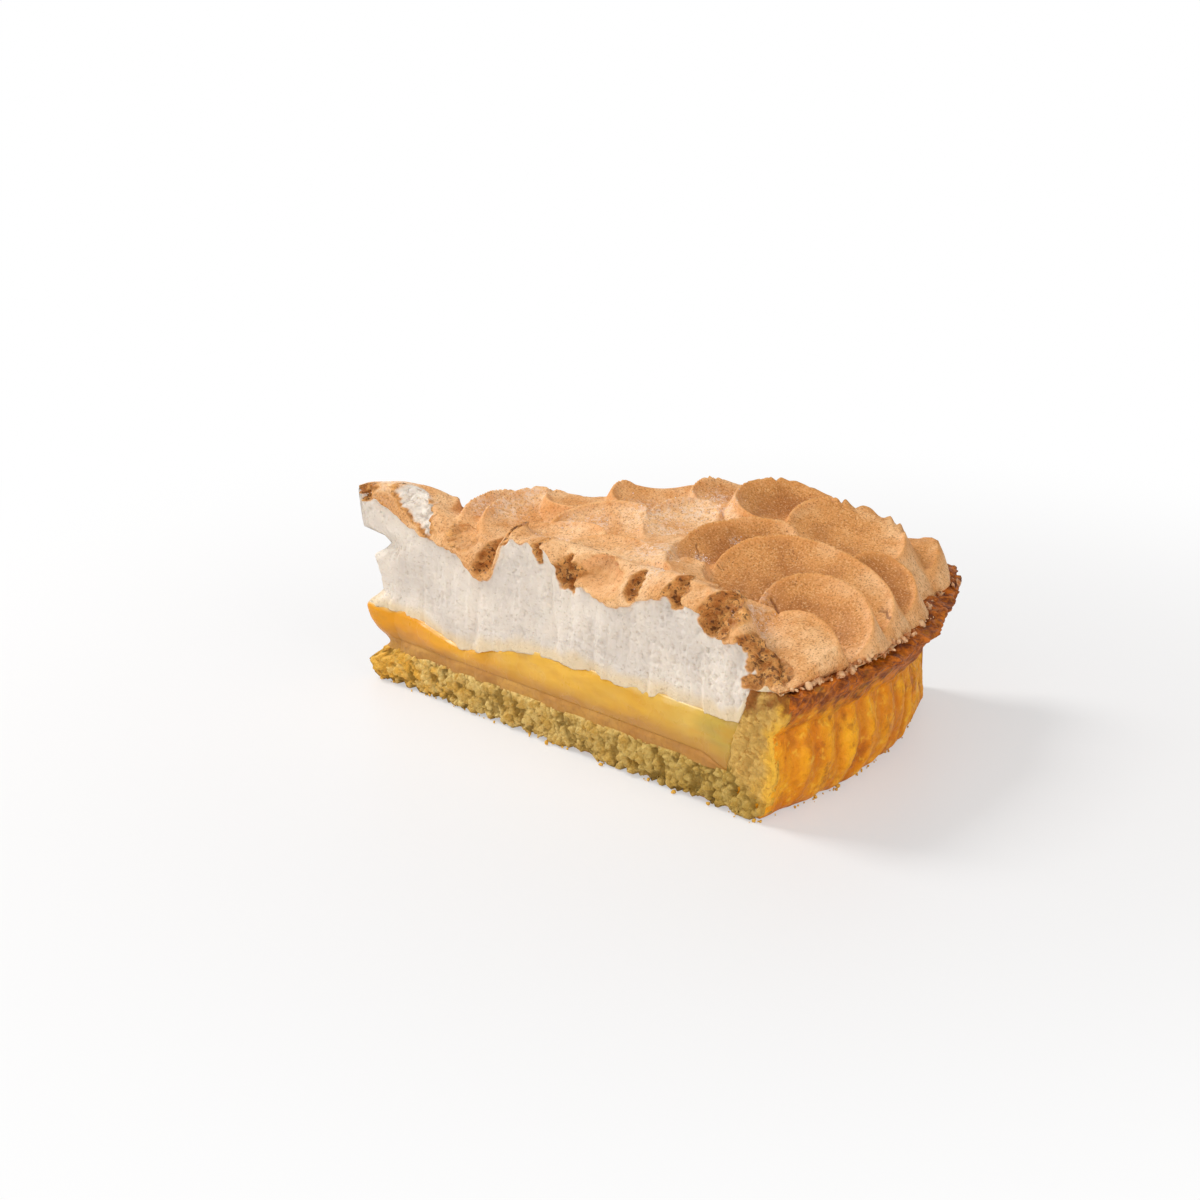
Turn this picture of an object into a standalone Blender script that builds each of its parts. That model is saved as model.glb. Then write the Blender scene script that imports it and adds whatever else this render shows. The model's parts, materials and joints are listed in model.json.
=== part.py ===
"""A wedge of lemon meringue tart, cut from a deep fluted pastry case.

The wedge lies with its point towards -X and its rim towards +X, and rests on the flat
underside of its pastry. Heights are measured from that underside. Radii are measured from
the centre of the whole tart, which lies at the point of the wedge.
"""
import math
import random

import bmesh
import bpy

# The wedge (metres)
SLICE_ANGLE = math.radians(45.0)      # an eighth of the tart
HALF_ANGLE = SLICE_ANGLE / 2
TART_CENTRE_X = -0.0680               # puts the middle of the wedge on the origin
GAP = 0.0003                          # between neighbouring layers
FLAT_LIMIT = math.radians(0.05)       # faces that meet at less than this become one

# Pastry case
BASE_THICKNESS = 0.0090
PASTRY_TIP = 0.0025                   # the pastry's point is blunt
FOOT_RADIUS = 0.1310                  # outer edge of the underside
FOOT_ROUND = 0.0030
FOOT_STEPS = 3
WAIST_HEIGHT = 0.0200                 # the wall bellies out below the waist and flares above it
WAIST_RADIUS = 0.1340
BELLY = 0.0025
LIP_RADIUS = 0.1405
LIP_HEIGHT = 0.0295
LIP_ROUND = 0.0012
WALL_ROWS = 7
INNER_FOOT_RADIUS = 0.1215            # inside of the wall where it meets the base
INNER_LIP_RADIUS = 0.1290
INNER_LIP_HEIGHT = 0.0285
INNER_CURVE = 1.6                     # the inside leans out more towards its lip
INNER_ROWS = 5
RIM_ROWS = 3
FLUTES = 12                           # across the wedge
STEPS_PER_FLUTE = 6
FLUTE_DEPTH = 0.0008
RIM_WAVE = 0.0007                     # uneven height of the baked rim
CORNER_RISE = 0.0030                  # the rim is pulled up and out at its far end
CORNER_WIDTH = math.radians(7.0)

# Lemon filling and the moist band under it
LAYER_STEPS = 12                      # angular steps of the smooth layers
LAYER_TIP = 0.0030
WALL_GAP = 0.0004
MOIST_THICKNESS = 0.0017
MOIST_RADIUS = 0.1170
MOIST_TAPER = 0.0060
FILLING_TOP = 0.0205
FILLING_DIP = 0.0055                  # the filling is thinner a quarter of the way out
DIP_RADIUS = 0.0320
DIP_WIDTH = 0.0160
TIP_SAG = 0.0015

# Meringue
MERINGUE_TIP = 0.0040
MERINGUE_RADIUS = 0.1330              # its edge sits on the rim
EDGE_CLEARANCE = 0.0007               # it stands a little off the uneven rim
RADIAL_STEPS = 17
TOP_CUTS = 2                          # the top is divided finer than the underside
TIP_HEIGHT = 0.0450
CROWN_RISE = 0.0065                   # the top is highest in the middle
SHOULDER_RADIUS = 0.0850
SHOULDER_DROP = 0.0110
EDGE_ROUND = 0.0070                   # the top rolls down to the rim over this width
EDGE_THICKNESS = 0.0030
TIP_LEAN = 0.0095                     # the top of the point leans out past the layers
LEAN_LENGTH = 0.0200

# Spoon strokes that overlap on the meringue, in rows from the point to the rim
STROKE_ROWS = 6
FIRST_ROW_RADIUS = 0.0180
ROW_SPACING = 0.0205
STROKE_LENGTH = 0.0420
STROKE_WIDTH = 0.0290
STROKE_CREST = 0.0046                 # height of a stroke's raised end over the crown
STROKE_FALL = 0.0065                  # drop along a stroke, from its raised end
STROKE_HOLLOW = 0.0030
STROKE_SWIRL = math.radians(-40.0)    # strokes turn from straight outwards to the near cut
STROKE_BANK = 1.0                     # slope of the banks beside a stroke
STROKE_SEED = 4


def smooth_step(low, high, value):
    """Rise from 0 at low to 1 at high, level at both ends."""
    t = min(max((value - low) / (high - low), 0.0), 1.0)
    return t * t * (3.0 - 2.0 * t)


def point_at(radius, angle, height):
    """Place a point from its radius and angle about the tart's centre."""
    return (TART_CENTRE_X + radius * math.cos(angle), radius * math.sin(angle), height)


def polar(co):
    """Radius and angle of a point about the tart's centre."""
    x = co[0] - TART_CENTRE_X
    return math.hypot(x, co[1]), math.atan2(co[1], x)


# Pastry case

def outer_radius(height):
    """Radius of the outside of the wall at a height, without its flutes."""
    if height < WAIST_HEIGHT:
        share = height / WAIST_HEIGHT
        lean = (WAIST_RADIUS - FOOT_RADIUS) * share
        return FOOT_RADIUS + lean + BELLY * math.sin(math.pi * share)
    share = (height - WAIST_HEIGHT) / (LIP_HEIGHT - WAIST_HEIGHT)
    return WAIST_RADIUS + (LIP_RADIUS - WAIST_RADIUS) * share ** 0.8


def inner_radius(height):
    """Radius of the inside of the wall at a height above the base."""
    share = (height - BASE_THICKNESS) / (INNER_LIP_HEIGHT - BASE_THICKNESS)
    return INNER_FOOT_RADIUS + (INNER_LIP_RADIUS - INNER_FOOT_RADIUS) * share ** INNER_CURVE


def inside_height(radius):
    """Height of the inside of the case at a radius: base, leaning wall, then rim."""
    if radius < INNER_FOOT_RADIUS:
        return BASE_THICKNESS
    if radius < INNER_LIP_RADIUS:
        share = (radius - INNER_FOOT_RADIUS) / (INNER_LIP_RADIUS - INNER_FOOT_RADIUS)
        return BASE_THICKNESS + (INNER_LIP_HEIGHT - BASE_THICKNESS) * share ** (1 / INNER_CURVE)
    share = (radius - INNER_LIP_RADIUS) / (LIP_RADIUS - INNER_LIP_RADIUS)
    return INNER_LIP_HEIGHT + (LIP_HEIGHT + LIP_ROUND - INNER_LIP_HEIGHT) * min(share, 1.0)


def rim_rise(radius, angle):
    """Extra height of the uneven rim."""
    wave = RIM_WAVE * (math.sin(23.0 * angle + 1.1) + 0.6 * math.sin(41.0 * angle + 0.4))
    corner = CORNER_RISE * math.exp(-((HALF_ANGLE - angle) / CORNER_WIDTH) ** 2)
    return (wave + corner) * smooth_step(INNER_LIP_RADIUS, LIP_RADIUS, radius)


def case_section():
    """Outline of the case's cut face, from the point's underside round to its top."""
    points = [(PASTRY_TIP, 0.0)]
    foot_centre = outer_radius(FOOT_ROUND) - FOOT_ROUND
    for i in range(FOOT_STEPS):
        turn = math.pi / 2 * (i / FOOT_STEPS - 1.0)
        points.append((foot_centre + FOOT_ROUND * math.cos(turn),
                       FOOT_ROUND * (1.0 + math.sin(turn))))
    for i in range(WALL_ROWS + 1):
        height = FOOT_ROUND + (LIP_HEIGHT - FOOT_ROUND) * i / WALL_ROWS
        points.append((outer_radius(height), height))
    points.append((LIP_RADIUS - LIP_ROUND / 3, LIP_HEIGHT + LIP_ROUND))
    for i in range(RIM_ROWS - 1, -1, -1):
        radius = INNER_LIP_RADIUS + (LIP_RADIUS - INNER_LIP_RADIUS) * i / RIM_ROWS
        points.append((radius, inside_height(radius)))
    for i in range(INNER_ROWS - 1, -1, -1):
        height = BASE_THICKNESS + (INNER_LIP_HEIGHT - BASE_THICKNESS) * i / INNER_ROWS
        points.append((inner_radius(height), height))
    points.append((PASTRY_TIP, BASE_THICKNESS))
    return points


def flute_and_wave(bm):
    """Press the flutes into the outside of the wall and make the rim uneven."""
    for vert in bm.verts:
        radius, angle = polar(vert.co)
        height = vert.co.z
        if height > 0.0 and radius > outer_radius(height) - LIP_ROUND:
            fade = smooth_step(0.0, 2.0 * FOOT_ROUND, height)
            fade *= 1.0 - 0.7 * smooth_step(WAIST_HEIGHT, LIP_HEIGHT, height)
            radius += FLUTE_DEPTH * fade * math.cos(2.0 * math.pi * FLUTES * angle / SLICE_ANGLE)
        if height > WAIST_HEIGHT:
            rise = rim_rise(radius, angle)
            height += rise
            radius += max(rise, 0.0) / 2
        vert.co = point_at(radius, angle, height)


# Shapes spun through the slice's angle

def spun_wedge(section, steps):
    """Spin a closed outline through the slice's angle into a solid with flat cut faces."""
    bm = bmesh.new()
    verts = [bm.verts.new(point_at(radius, -HALF_ANGLE, height)) for radius, height in section]
    face = bm.faces.new(verts)
    bmesh.ops.spin(bm, geom=[face, *face.edges, *verts], cent=(TART_CENTRE_X, 0.0, 0.0),
                   axis=(0.0, 0.0, 1.0), angle=SLICE_ANGLE, steps=steps, use_duplicate=False)
    return bm


def blunt_point(bm, tip_radius):
    """Flatten the curved strip at the point into a narrow flat face."""
    flat_x = TART_CENTRE_X + tip_radius * math.cos(HALF_ANGLE)
    for vert in bm.verts:
        if polar(vert.co)[0] < tip_radius + GAP:
            vert.co.x = flat_x


def join_flat_faces(bm):
    """Make each flat area one face, and point every face outwards."""
    bmesh.ops.dissolve_limit(bm, angle_limit=FLAT_LIMIT, verts=bm.verts, edges=bm.edges)
    bmesh.ops.recalc_face_normals(bm, faces=bm.faces)


# Lemon filling and moist band

def filling_height(radius):
    """Height of the filling's top, lower in a ring a quarter of the way out."""
    dip = FILLING_DIP * math.exp(-((radius - DIP_RADIUS) / DIP_WIDTH) ** 2)
    sag = TIP_SAG * (1.0 - smooth_step(0.0, DIP_RADIUS, radius))
    return FILLING_TOP - dip - sag


def layer_radii():
    """Radii shared by the filling's top and the meringue's underside."""
    last = INNER_FOOT_RADIUS - WALL_GAP
    return [MERINGUE_TIP + (last - MERINGUE_TIP) * i / RADIAL_STEPS
            for i in range(RADIAL_STEPS + 1)]


def moist_section():
    low = BASE_THICKNESS + GAP
    high = low + MOIST_THICKNESS
    return [(LAYER_TIP, low), (MOIST_RADIUS, low), (MOIST_RADIUS - MOIST_TAPER, high),
            (LAYER_TIP, high)]


def filling_section():
    """The filling rests on the moist band, and past its taper fills the case to the wall."""
    low = BASE_THICKNESS + MOIST_THICKNESS + 2.0 * GAP
    foot = BASE_THICKNESS + GAP
    taper_end = MOIST_RADIUS + GAP * MOIST_TAPER / MOIST_THICKNESS
    points = [(LAYER_TIP, low), (MOIST_RADIUS - MOIST_TAPER, low), (taper_end, foot),
              (inner_radius(foot) - WALL_GAP, foot)]
    row = (INNER_LIP_HEIGHT - BASE_THICKNESS) / INNER_ROWS
    for i in range(1, INNER_ROWS):
        height = BASE_THICKNESS + row * i
        if height < FILLING_TOP - GAP:
            points.append((inner_radius(height) - WALL_GAP, height))
    edge = inner_radius(FILLING_TOP) - WALL_GAP
    points.append((edge, FILLING_TOP))
    points.extend((radius, filling_height(radius)) for radius in reversed(layer_radii()))
    points.append((LAYER_TIP, filling_height(LAYER_TIP)))
    return points


# Meringue

def meringue_floor(radius, angle):
    """Underside of the meringue: on the filling, up the wall and over the rim."""
    wall = inside_height(radius + WALL_GAP) + WALL_GAP
    if radius >= INNER_LIP_RADIUS:
        wall = inside_height(radius) + rim_rise(radius, angle) + EDGE_CLEARANCE
    return max(filling_height(radius) + GAP, wall)


def underside_radii():
    """Radii of the underside: the filling's own, the leaning wall's, then the rim's."""
    wall = [inner_radius(BASE_THICKNESS + (INNER_LIP_HEIGHT - BASE_THICKNESS) * share)
            for share in (0.62, 0.82)]
    return [*layer_radii(), *wall, INNER_LIP_RADIUS, MERINGUE_RADIUS]


def crown(radius):
    """Height of the meringue's top before its strokes."""
    arch = CROWN_RISE * math.sin(math.pi * min(radius / MERINGUE_RADIUS, 1.0))
    drop = SHOULDER_DROP * smooth_step(SHOULDER_RADIUS, MERINGUE_RADIUS, radius)
    return TIP_HEIGHT + arch - drop


def spoon_strokes():
    """Lay out the strokes row by row, each one over the last: (x, y, heading, size)."""
    random.seed(STROKE_SEED)
    strokes = []
    for row in range(STROKE_ROWS):
        radius = FIRST_ROW_RADIUS + ROW_SPACING * row
        count = 1 + round(radius * SLICE_ANGLE / STROKE_WIDTH)
        for i in range(count):
            spread = 1.0 - 2.0 * (i + random.uniform(0.3, 0.7)) / count
            angle = HALF_ANGLE * spread
            x, y, _ = point_at(radius + random.uniform(-0.003, 0.003), angle, 0.0)
            heading = angle + STROKE_SWIRL + random.uniform(-0.25, 0.25)
            strokes.append((x, y, heading, random.uniform(0.85, 1.15)))
    return strokes


def press_stroke(height, x, y, stroke):
    """Shape one point of the top with one stroke: a hollow with a raised rim and banks."""
    stroke_x, stroke_y, heading, size = stroke
    along = (x - stroke_x) * math.cos(heading) + (y - stroke_y) * math.sin(heading)
    across = (y - stroke_y) * math.cos(heading) - (x - stroke_x) * math.sin(heading)
    along /= size * STROKE_LENGTH / 2
    across /= size * STROKE_WIDTH / 2
    reach = math.hypot(along, across)
    edge = max(reach, 1.0)
    rim = (crown(polar((stroke_x, stroke_y))[0]) + STROKE_CREST
           - STROKE_FALL * (along / edge + 1.0) / 2)
    crown_here = crown(polar((x, y))[0])
    rim += crown_here - crown(polar((stroke_x, stroke_y))[0])
    if reach <= 1.0:
        return rim - STROKE_HOLLOW * (1.0 - reach * reach)
    bank = STROKE_BANK * (reach - 1.0) * size * STROKE_WIDTH / 2
    return min(max(height, rim - bank), rim + bank)


def meringue_top(x, y, strokes):
    radius = polar((x, y))[0]
    height = crown(radius)
    for stroke in strokes:
        height = press_stroke(height, x, y, stroke)
    roll = 1.0 - smooth_step(0.0, EDGE_ROUND, MERINGUE_RADIUS - radius)
    edge_height = inside_height(MERINGUE_RADIUS) + EDGE_CLEARANCE + EDGE_THICKNESS
    return height + (min(height, edge_height) - height) * roll * roll


def meringue_mesh():
    """A polar sheet shaped as the underside, thickened upwards, its top pressed by strokes."""
    radii = underside_radii()
    bm = bmesh.new()
    rings = len(radii) - 1
    bmesh.ops.create_grid(bm, x_segments=rings, y_segments=LAYER_STEPS, size=1.0)
    for vert in bm.verts:
        radius = radii[round((vert.co.x + 1.0) / 2.0 * rings)]
        angle = HALF_ANGLE * vert.co.y
        vert.co = point_at(radius, angle, meringue_floor(radius, angle))
    floor_faces = list(bm.faces)
    raised = bmesh.ops.extrude_face_region(bm, geom=floor_faces)
    top_verts = {item for item in raised["geom"] if isinstance(item, bmesh.types.BMVert)}
    for vert in top_verts:
        vert.co.z = TIP_HEIGHT
    top_edges = [e for e in bm.edges if all(v in top_verts for v in e.verts)]
    bmesh.ops.subdivide_edges(bm, edges=top_edges, cuts=TOP_CUTS, use_grid_fill=True)
    strokes = spoon_strokes()
    for vert in bm.verts:
        if vert.co.z > TIP_HEIGHT - GAP:
            vert.co.z = meringue_top(vert.co.x, vert.co.y, strokes)
            radius, _ = polar(vert.co)
            vert.co.x -= TIP_LEAN * (1.0 - smooth_step(MERINGUE_TIP, LEAN_LENGTH, radius))
    bmesh.ops.recalc_face_normals(bm, faces=bm.faces)
    return bm


# Objects

def food_material(name, colour, roughness):
    material = bpy.data.materials.new(name)
    material.use_nodes = True
    shader = material.node_tree.nodes["Principled BSDF"]
    shader.inputs["Base Color"].default_value = (*colour, 1.0)
    shader.inputs["Roughness"].default_value = roughness
    shader.inputs["Metallic"].default_value = 0.0
    return material


def add_object(name, bm, material, collection, sharp_degrees=40.0):
    mesh = bpy.data.meshes.new(name)
    bm.to_mesh(mesh)
    bm.free()
    mesh.materials.append(material)
    mesh.shade_smooth()
    mesh.set_sharp_from_angle(angle=math.radians(sharp_degrees))
    collection.objects.link(bpy.data.objects.new(name, mesh))


def build_pastry(collection):
    bm = spun_wedge(case_section(), FLUTES * STEPS_PER_FLUTE)
    flute_and_wave(bm)
    blunt_point(bm, PASTRY_TIP)
    join_flat_faces(bm)
    golden = food_material("baked_pastry", (0.60, 0.32, 0.08), 0.75)
    add_object("pastry_shell", bm, golden, collection)


def build_layers(collection):
    band = spun_wedge(moist_section(), LAYER_STEPS)
    blunt_point(band, LAYER_TIP)
    join_flat_faces(band)
    brown = food_material("soaked_pastry", (0.48, 0.23, 0.06), 0.50)
    add_object("soaked_layer", band, brown, collection)

    filling = spun_wedge(filling_section(), LAYER_STEPS)
    blunt_point(filling, LAYER_TIP)
    join_flat_faces(filling)
    yellow = food_material("lemon_curd", (0.69, 0.38, 0.06), 0.35)
    add_object("lemon_filling", filling, yellow, collection)


def build_meringue(collection):
    tan = food_material("browned_meringue", (0.61, 0.31, 0.15), 0.70)
    add_object("meringue", meringue_mesh(), tan, collection, sharp_degrees=60.0)


for item in list(bpy.data.objects):
    bpy.data.objects.remove(item)

slice_parts = bpy.data.collections.new("lemon_meringue_tart_slice")
bpy.context.scene.collection.children.link(slice_parts)
build_pastry(slice_parts)
build_layers(slice_parts)
build_meringue(slice_parts)
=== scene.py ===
import json
import math

import bmesh
import bpy
import numpy as np
from mathutils import Euler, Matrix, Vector

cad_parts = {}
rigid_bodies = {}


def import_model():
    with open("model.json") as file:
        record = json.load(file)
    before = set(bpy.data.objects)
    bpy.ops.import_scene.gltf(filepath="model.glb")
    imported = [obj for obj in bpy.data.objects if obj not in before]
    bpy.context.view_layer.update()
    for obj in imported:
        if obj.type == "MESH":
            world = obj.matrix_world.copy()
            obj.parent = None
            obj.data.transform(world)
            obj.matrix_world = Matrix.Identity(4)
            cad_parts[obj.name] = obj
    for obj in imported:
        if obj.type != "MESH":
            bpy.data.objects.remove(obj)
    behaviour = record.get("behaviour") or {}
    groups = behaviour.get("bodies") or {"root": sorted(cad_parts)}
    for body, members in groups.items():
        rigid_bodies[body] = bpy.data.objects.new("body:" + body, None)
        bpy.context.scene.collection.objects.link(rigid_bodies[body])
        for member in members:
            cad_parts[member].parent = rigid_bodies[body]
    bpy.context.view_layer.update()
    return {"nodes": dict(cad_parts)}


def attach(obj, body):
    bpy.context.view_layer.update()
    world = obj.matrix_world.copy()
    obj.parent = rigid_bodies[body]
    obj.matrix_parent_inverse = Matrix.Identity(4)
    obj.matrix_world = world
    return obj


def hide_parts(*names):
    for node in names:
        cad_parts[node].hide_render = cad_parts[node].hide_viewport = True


for leftover in list(bpy.data.objects):
    bpy.data.objects.remove(leftover)
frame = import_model()
print("frame loaded:", ", ".join(sorted(frame["nodes"])))

# Everything is worked out in millimetres from the slice's point: x runs along the middle of the slice,
# y across it (minus is the near cut, plus the far cut) and z up. addMesh turns it to metres.
slicePlan = {
    "pointX": -68.0,  # where the slice's point stands in the frame
    "halfAngle": 22.5,  # an eighth of the pie
    "baseTop": 9.0,
    "bandTop": 11.0,
    "wallFoot": 121.5,  # radius of the wall's inner face at the base, and where the rim begins
    "wallTop": 129.0,
    "wallTopHeight": 28.5,
    "lipRadius": 140.5,
    "lipHeight": 29.5,
    "seed": 11,
}
halfAngle = math.radians(slicePlan["halfAngle"])
sinHalf = math.sin(halfAngle)
cosHalf = math.cos(halfAngle)
baseTop = slicePlan["baseTop"]
wallFoot = slicePlan["wallFoot"]
wallTop = slicePlan["wallTop"]
wallSpread = wallTop - wallFoot
wallRise = slicePlan["wallTopHeight"] - baseTop


def smooth(low, high, value):
    t = np.clip((np.asarray(value, float) - low) / (high - low), 0.0, 1.0)
    return t * t * (3.0 - 2.0 * t)


def mix(a, b, t):
    return a + (b - a) * t


def bump(value, middle, width):
    return np.exp(-((value - middle) / width) ** 2)


def spots(a, b, c=0.0):
    # three sets of numbers put together as points
    return np.stack(np.broadcast_arrays(a, b, c), -1)


def along(value, pairs):
    # reads a short curve given as (place, height) pairs
    places, heights = zip(*pairs)
    return np.interp(value, places, heights)


def softAlong(value, pairs, spread=1.5):
    # the same curve with its corners rounded
    steps = (-1.0, -0.5, 0.0, 0.5, 1.0)
    return sum(along(value + spread * step, pairs) for step in steps) / len(steps)


def cellRandom(x, y, z, salt):
    # the same number from 0 to 1 for the same whole-number cell
    n = x * 73856093 ^ y * 19349663 ^ z * 83492791 ^ salt * 40503
    n = (n ^ n >> 15) & 0x7fffffff
    n = n * 1274126177 & 0x7fffffff
    n = (n ^ n >> 13) & 0x7fffffff
    n = (n * 69069 + 12345) & 0x7fffffff
    return (n >> 7) / float(0x7fffffff >> 7)


def softNoise(points, size, salt=0, octaves=2):
    # rolling noise from -1 to 1 whose lumps are about this many millimetres
    total = 0.0
    weight = 1.0
    whole = 0.0
    for octave in range(octaves):
        place = points * (2 ** octave / size) + 17.3 * octave
        base = np.floor(place).astype(np.int64)
        part = place - base
        part = part * part * (3.0 - 2.0 * part)
        value = 0.0
        for corner in range(8):
            step = (corner & 1, corner >> 1 & 1, corner >> 2)
            share = 1.0
            for axis in range(3):
                share = share * (part[..., axis] if step[axis] else 1.0 - part[..., axis])
            value = value + share * cellRandom(base[..., 0] + step[0], base[..., 1] + step[1],
                                               base[..., 2] + step[2], salt + octave)
        total = total + weight * (2.0 * value - 1.0)
        whole += weight
        weight *= 0.5
    return 1.6 * total / whole


def cellNoise(points, size, salt=0):
    # distances to the nearest and second nearest of scattered points, in cells
    place = points / size
    base = np.floor(place).astype(np.int64)
    nearest = np.full(place.shape[:-1], 9.0)
    second = np.full(place.shape[:-1], 9.0)
    for step in np.ndindex(3, 3, 3):
        cell = base + np.array(step) - 1
        gap = 0.0
        for axis in range(3):
            spot = cell[..., axis] + cellRandom(cell[..., 0], cell[..., 1], cell[..., 2], salt + 7 * axis)
            gap = gap + (place[..., axis] - spot) ** 2
        gap = np.sqrt(gap)
        second = np.minimum(second, np.maximum(nearest, gap))
        nearest = np.minimum(nearest, gap)
    return nearest, second


def toMetres(points):
    out = np.array(points, float)
    out[..., 0] += slicePlan["pointX"]
    return out / 1000.0


def putInScene(name, data):
    thing = bpy.data.objects.new(name, data)
    bpy.context.scene.collection.objects.link(thing)
    return thing


def addMesh(name, points, faces, marks=None, closeHoles=True):
    mesh = bpy.data.meshes.new(name)
    mesh.from_pydata(toMetres(points).tolist(), [], faces)
    for mark, values in (marks or {}).items():
        layer = mesh.attributes.new(mark, "FLOAT", "POINT")
        layer.data.foreach_set("value", np.asarray(values, np.float32).ravel())
    net = bmesh.new()
    net.from_mesh(mesh)
    if closeHoles:
        bmesh.ops.holes_fill(net, edges=[edge for edge in net.edges if edge.is_boundary], sides=0)
    bmesh.ops.recalc_face_normals(net, faces=net.faces)
    for face in net.faces:
        face.smooth = True
    net.to_mesh(mesh)
    net.free()
    return putInScene(name, mesh)


def zipRing(ring, order):
    # closes a thin ring: starts at its first corner in this order and stitches its two sides together
    count = len(ring)
    ahead = behind = int(np.argmin(order))
    faces = []
    for _ in range(count - 2):
        nextAhead = (ahead + 1) % count
        nextBehind = (behind - 1) % count
        if order[nextAhead] <= order[nextBehind]:
            faces.append([ring[ahead], ring[nextAhead], ring[behind]])
            ahead = nextAhead
        else:
            faces.append([ring[ahead], ring[nextBehind], ring[behind]])
            behind = nextBehind
    return faces


def loftRings(name, rings, marks):
    # rings is an array of closed loops, one after the other, that make one closed body; the first is
    # stitched shut from its lowest corner up, the last from side to side
    count, around, _ = rings.shape
    index = np.arange(count * around).reshape(count, around)
    here = index[:-1]
    there = index[1:]
    quads = np.stack([here, np.roll(here, -1, 1), np.roll(there, -1, 1), there], -1)
    faces = quads.reshape(-1, 4).tolist()
    for end, axis in ((0, 2), (-1, 1)):
        faces += zipRing(index[end].tolist(), rings[end, :, axis])
    return addMesh(name, rings.reshape(-1, 3), faces, marks)


def settle(piece, node, material):
    piece.data.materials.append(material)
    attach(piece, "root")
    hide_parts(node)
    print("made", piece.name, "with", len(piece.data.polygons), "faces")


def tint(red, green, blue):
    # screen colour 0 to 255, turned to the linear colour that a shader takes
    linear = []
    for channel in (red, green, blue):
        c = channel / 255.0
        linear.append(c / 12.92 if c <= 0.04045 else ((c + 0.055) / 1.055) ** 2.4)
    return (*linear, 1.0)


class NodeBench:
    # a short way to write the nodes of a material or of the world
    def __init__(self, owner):
        owner.use_nodes = True
        self.owner = owner
        self.tree = owner.node_tree

    def join(self, source, socket):
        if isinstance(source, (int, float, tuple)):
            socket.default_value = source
        elif source is not None:
            self.tree.links.new(source, socket)

    def add(self, kind, output, sockets, **settings):
        # a new node with its settings and what goes into its sockets; gives back one of its outputs
        node = self.tree.nodes.new("ShaderNode" + kind)
        for name, setting in settings.items():
            setattr(node, name, setting)
        for socket, source in sockets.items():
            self.join(source, node.inputs[socket])
        return node.outputs[output]

    def mark(self, name):
        return self.add("Attribute", "Fac", {}, attribute_name=name)

    def stretched(self, x, y, z):
        return self.add("Mapping", "Vector", {"Vector": self.place, "Scale": (x, y, z)})

    def noise(self, size, detail=3.0, rough=0.55, place=None):
        # size in millimetres
        sockets = {"Vector": place or self.place, "Scale": 1000.0 / size, "Detail": detail,
                   "Roughness": rough}
        return self.add("TexNoise", "Fac", sockets)

    def cells(self, size):
        return self.add("TexVoronoi", "Distance", {"Vector": self.place, "Scale": 1000.0 / size})

    def span(self, value, low=0.3, high=0.7, toLow=0.0, toHigh=1.0):
        # moves smoothly from one number to another while the value goes from low to high
        sockets = {"Value": value, "From Min": low, "From Max": high, "To Min": toLow, "To Max": toHigh}
        return self.add("MapRange", "Result", sockets, interpolation_type="SMOOTHSTEP")

    def math(self, work, a, b):
        return self.add("Math", 0, {0: a, 1: b}, operation=work)

    def stirred(self, value, noise, amount):
        # the value made uneven by a noise
        return self.math("ADD", value, self.span(noise, 0.3, 0.7, -amount, amount))

    def blend(self, share, a, b):
        return self.add("Mix", 2, {0: share, 6: a, 7: b}, data_type="RGBA")

    def twoTone(self, noise, first, second, low=0.3, high=0.7):
        return self.blend(self.span(noise, low, high), tint(*first), tint(*second))

    def coats(self, colour, *layers):
        # colours laid one over another. Each layer is what drives it, from where to where, how much of it
        # and its colour; without the from and to it follows the driver straight
        for driver, *reach, most, shade in layers:
            share = self.span(driver, *reach, 0.0, most) if reach else self.math("MULTIPLY", driver, most)
            colour = self.blend(share, colour, tint(*shade) if isinstance(shade, tuple) else shade)
        return colour

    def finish(self, colour, roughness, reliefs, subsurface, shine=0.5, subsurfaceScale=0.002, coat=0.0):
        # each relief is its height, how many millimetres it is high and how strong it is
        normal = None
        for height, distance, strength in reliefs:
            normal = self.add("Bump", "Normal", {"Height": height, "Distance": distance / 1000.0,
                                                 "Strength": strength, "Normal": normal})
        sockets = {"Base Color": colour, "Roughness": roughness, "Normal": normal,
                   "Specular IOR Level": shine, "Subsurface Weight": subsurface,
                   "Subsurface Scale": subsurfaceScale, "Subsurface Radius": (1.0, 0.7, 0.4),
                   "Coat Weight": coat, "Coat Roughness": 0.25}
        for name, source in sockets.items():
            self.join(source, self.tree.nodes["Principled BSDF"].inputs[name])
        return self.owner


def startMaterial(name):
    bench = NodeBench(bpy.data.materials.new(name))
    bench.place = bench.add("TexCoord", "Object", {})
    return bench


def wallInside(z):
    # radius of the pastry wall's inner face
    lift = np.clip((z - baseTop) / wallRise, 0.0, 1.2)
    return wallFoot + wallSpread * lift ** 1.6


def wallHeight(r):
    # the same face, read the other way, and the rim's top beyond it
    wall = baseTop + wallRise * np.clip((r - wallFoot) / wallSpread, 0.0, 1.0) ** 0.625
    rim = slicePlan["wallTopHeight"] + (r - wallTop) / (slicePlan["lipRadius"] - wallTop) * 2.2
    return np.where(r < wallTop, wall, rim)


def curdTop(r):
    # the lemon dips where the first spoonful of meringue was pushed in
    return 20.5 - 5.5 * bump(r, 32.0, 16.0) - 1.5 * (1.0 - smooth(0.0, 32.0, r))


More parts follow.
